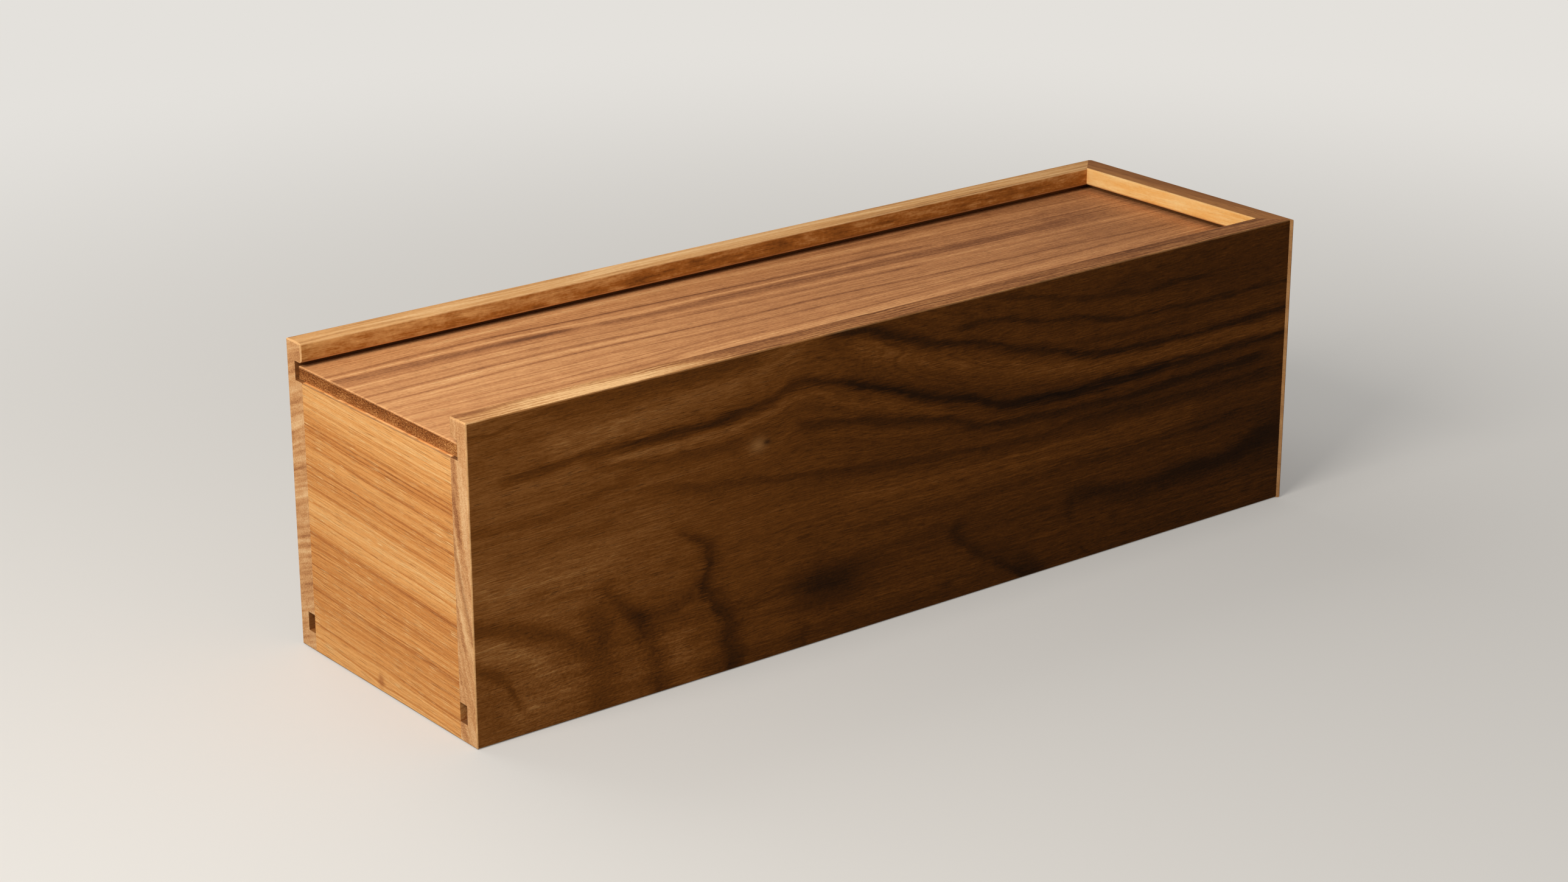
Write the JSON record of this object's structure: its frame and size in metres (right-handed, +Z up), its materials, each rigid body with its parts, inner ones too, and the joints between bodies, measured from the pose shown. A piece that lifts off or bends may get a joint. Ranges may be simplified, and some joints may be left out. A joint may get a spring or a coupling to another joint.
{
  "type": "sliding lid box",
  "caption": "Long wooden box: grooved side boards mitred to the back, a low front board, a floating bottom, and a lid that slides out over the front in grooves.",
  "frame": {"origin": "middle of the overall length and width, on the surface that the box stands on", "axes": "+X along the box towards its closed back, +Z up; the lid slides out towards -X"},
  "size_m": [0.35, 0.1058, 0.106],
  "materials": {
    "side_wood": "oiled walnut, straight grain, satin",
    "figured_side_wood": "oiled walnut, dark wavy figure, satin",
    "end_wood": "oiled walnut, golden, straight grain, satin",
    "bottom_wood": "sanded walnut, matt",
    "lid_wood": "oiled walnut, grey-brown streaks, satin"
  },
  "bodies": {
    "box": {"left_side": "side_wood", "right_side": "figured_side_wood", "front_end": "end_wood", "back_end": "end_wood", "bottom_panel": "bottom_wood"},
    "lid": {"lid": "lid_wood"}
  },
  "joints": [
    {"name": "lid_slide", "type": "slide", "parent": "box", "child": "lid", "axis": [-1, 0, 0], "range_m": [0, 0.35]}
  ]
}
